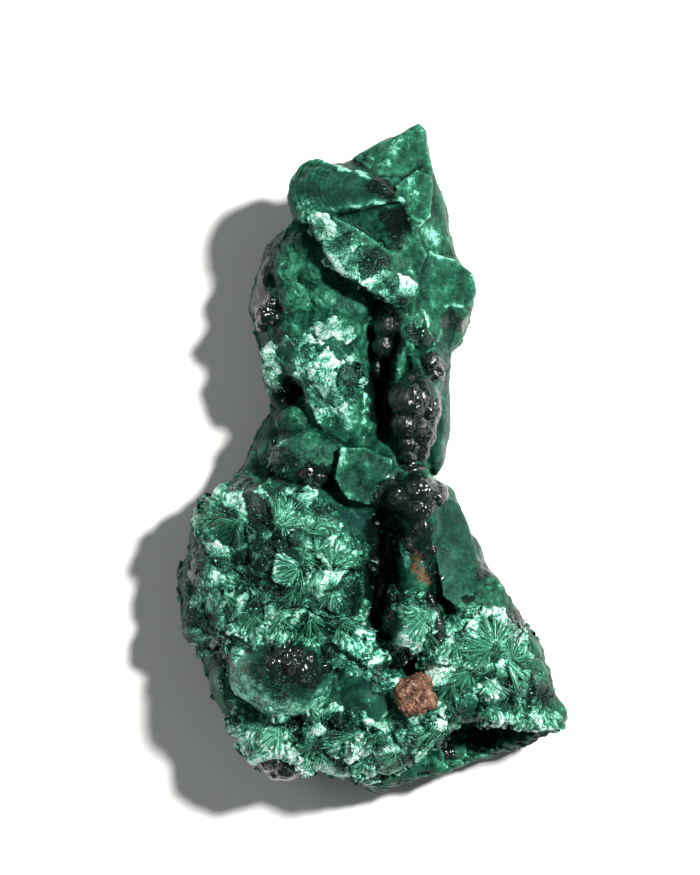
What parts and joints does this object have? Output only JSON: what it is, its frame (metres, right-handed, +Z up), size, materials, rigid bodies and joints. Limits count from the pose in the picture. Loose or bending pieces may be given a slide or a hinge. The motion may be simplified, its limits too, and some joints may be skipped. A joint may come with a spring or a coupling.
{
  "type": "malachite specimen",
  "caption": "Fibrous malachite cluster grown on a broken slab: silky sprays, rounded botryoids and a deep cleft, tapering from a broad foot to a pointed tip.",
  "frame": {"origin": "middle of the stone's box, on the plane its broken back rests on", "axes": "+Y from the broad foot to the pointed tip, +Z up out of the grown side, +X to the right seen from above"},
  "size_m": [0.0444, 0.0754, 0.0195],
  "materials": {
    "malachite": "silky to glassy fibrous malachite, rough where it is broken"
  },
  "bodies": {
    "root": {"malachite_stone": "malachite"}
  },
  "joints": []
}
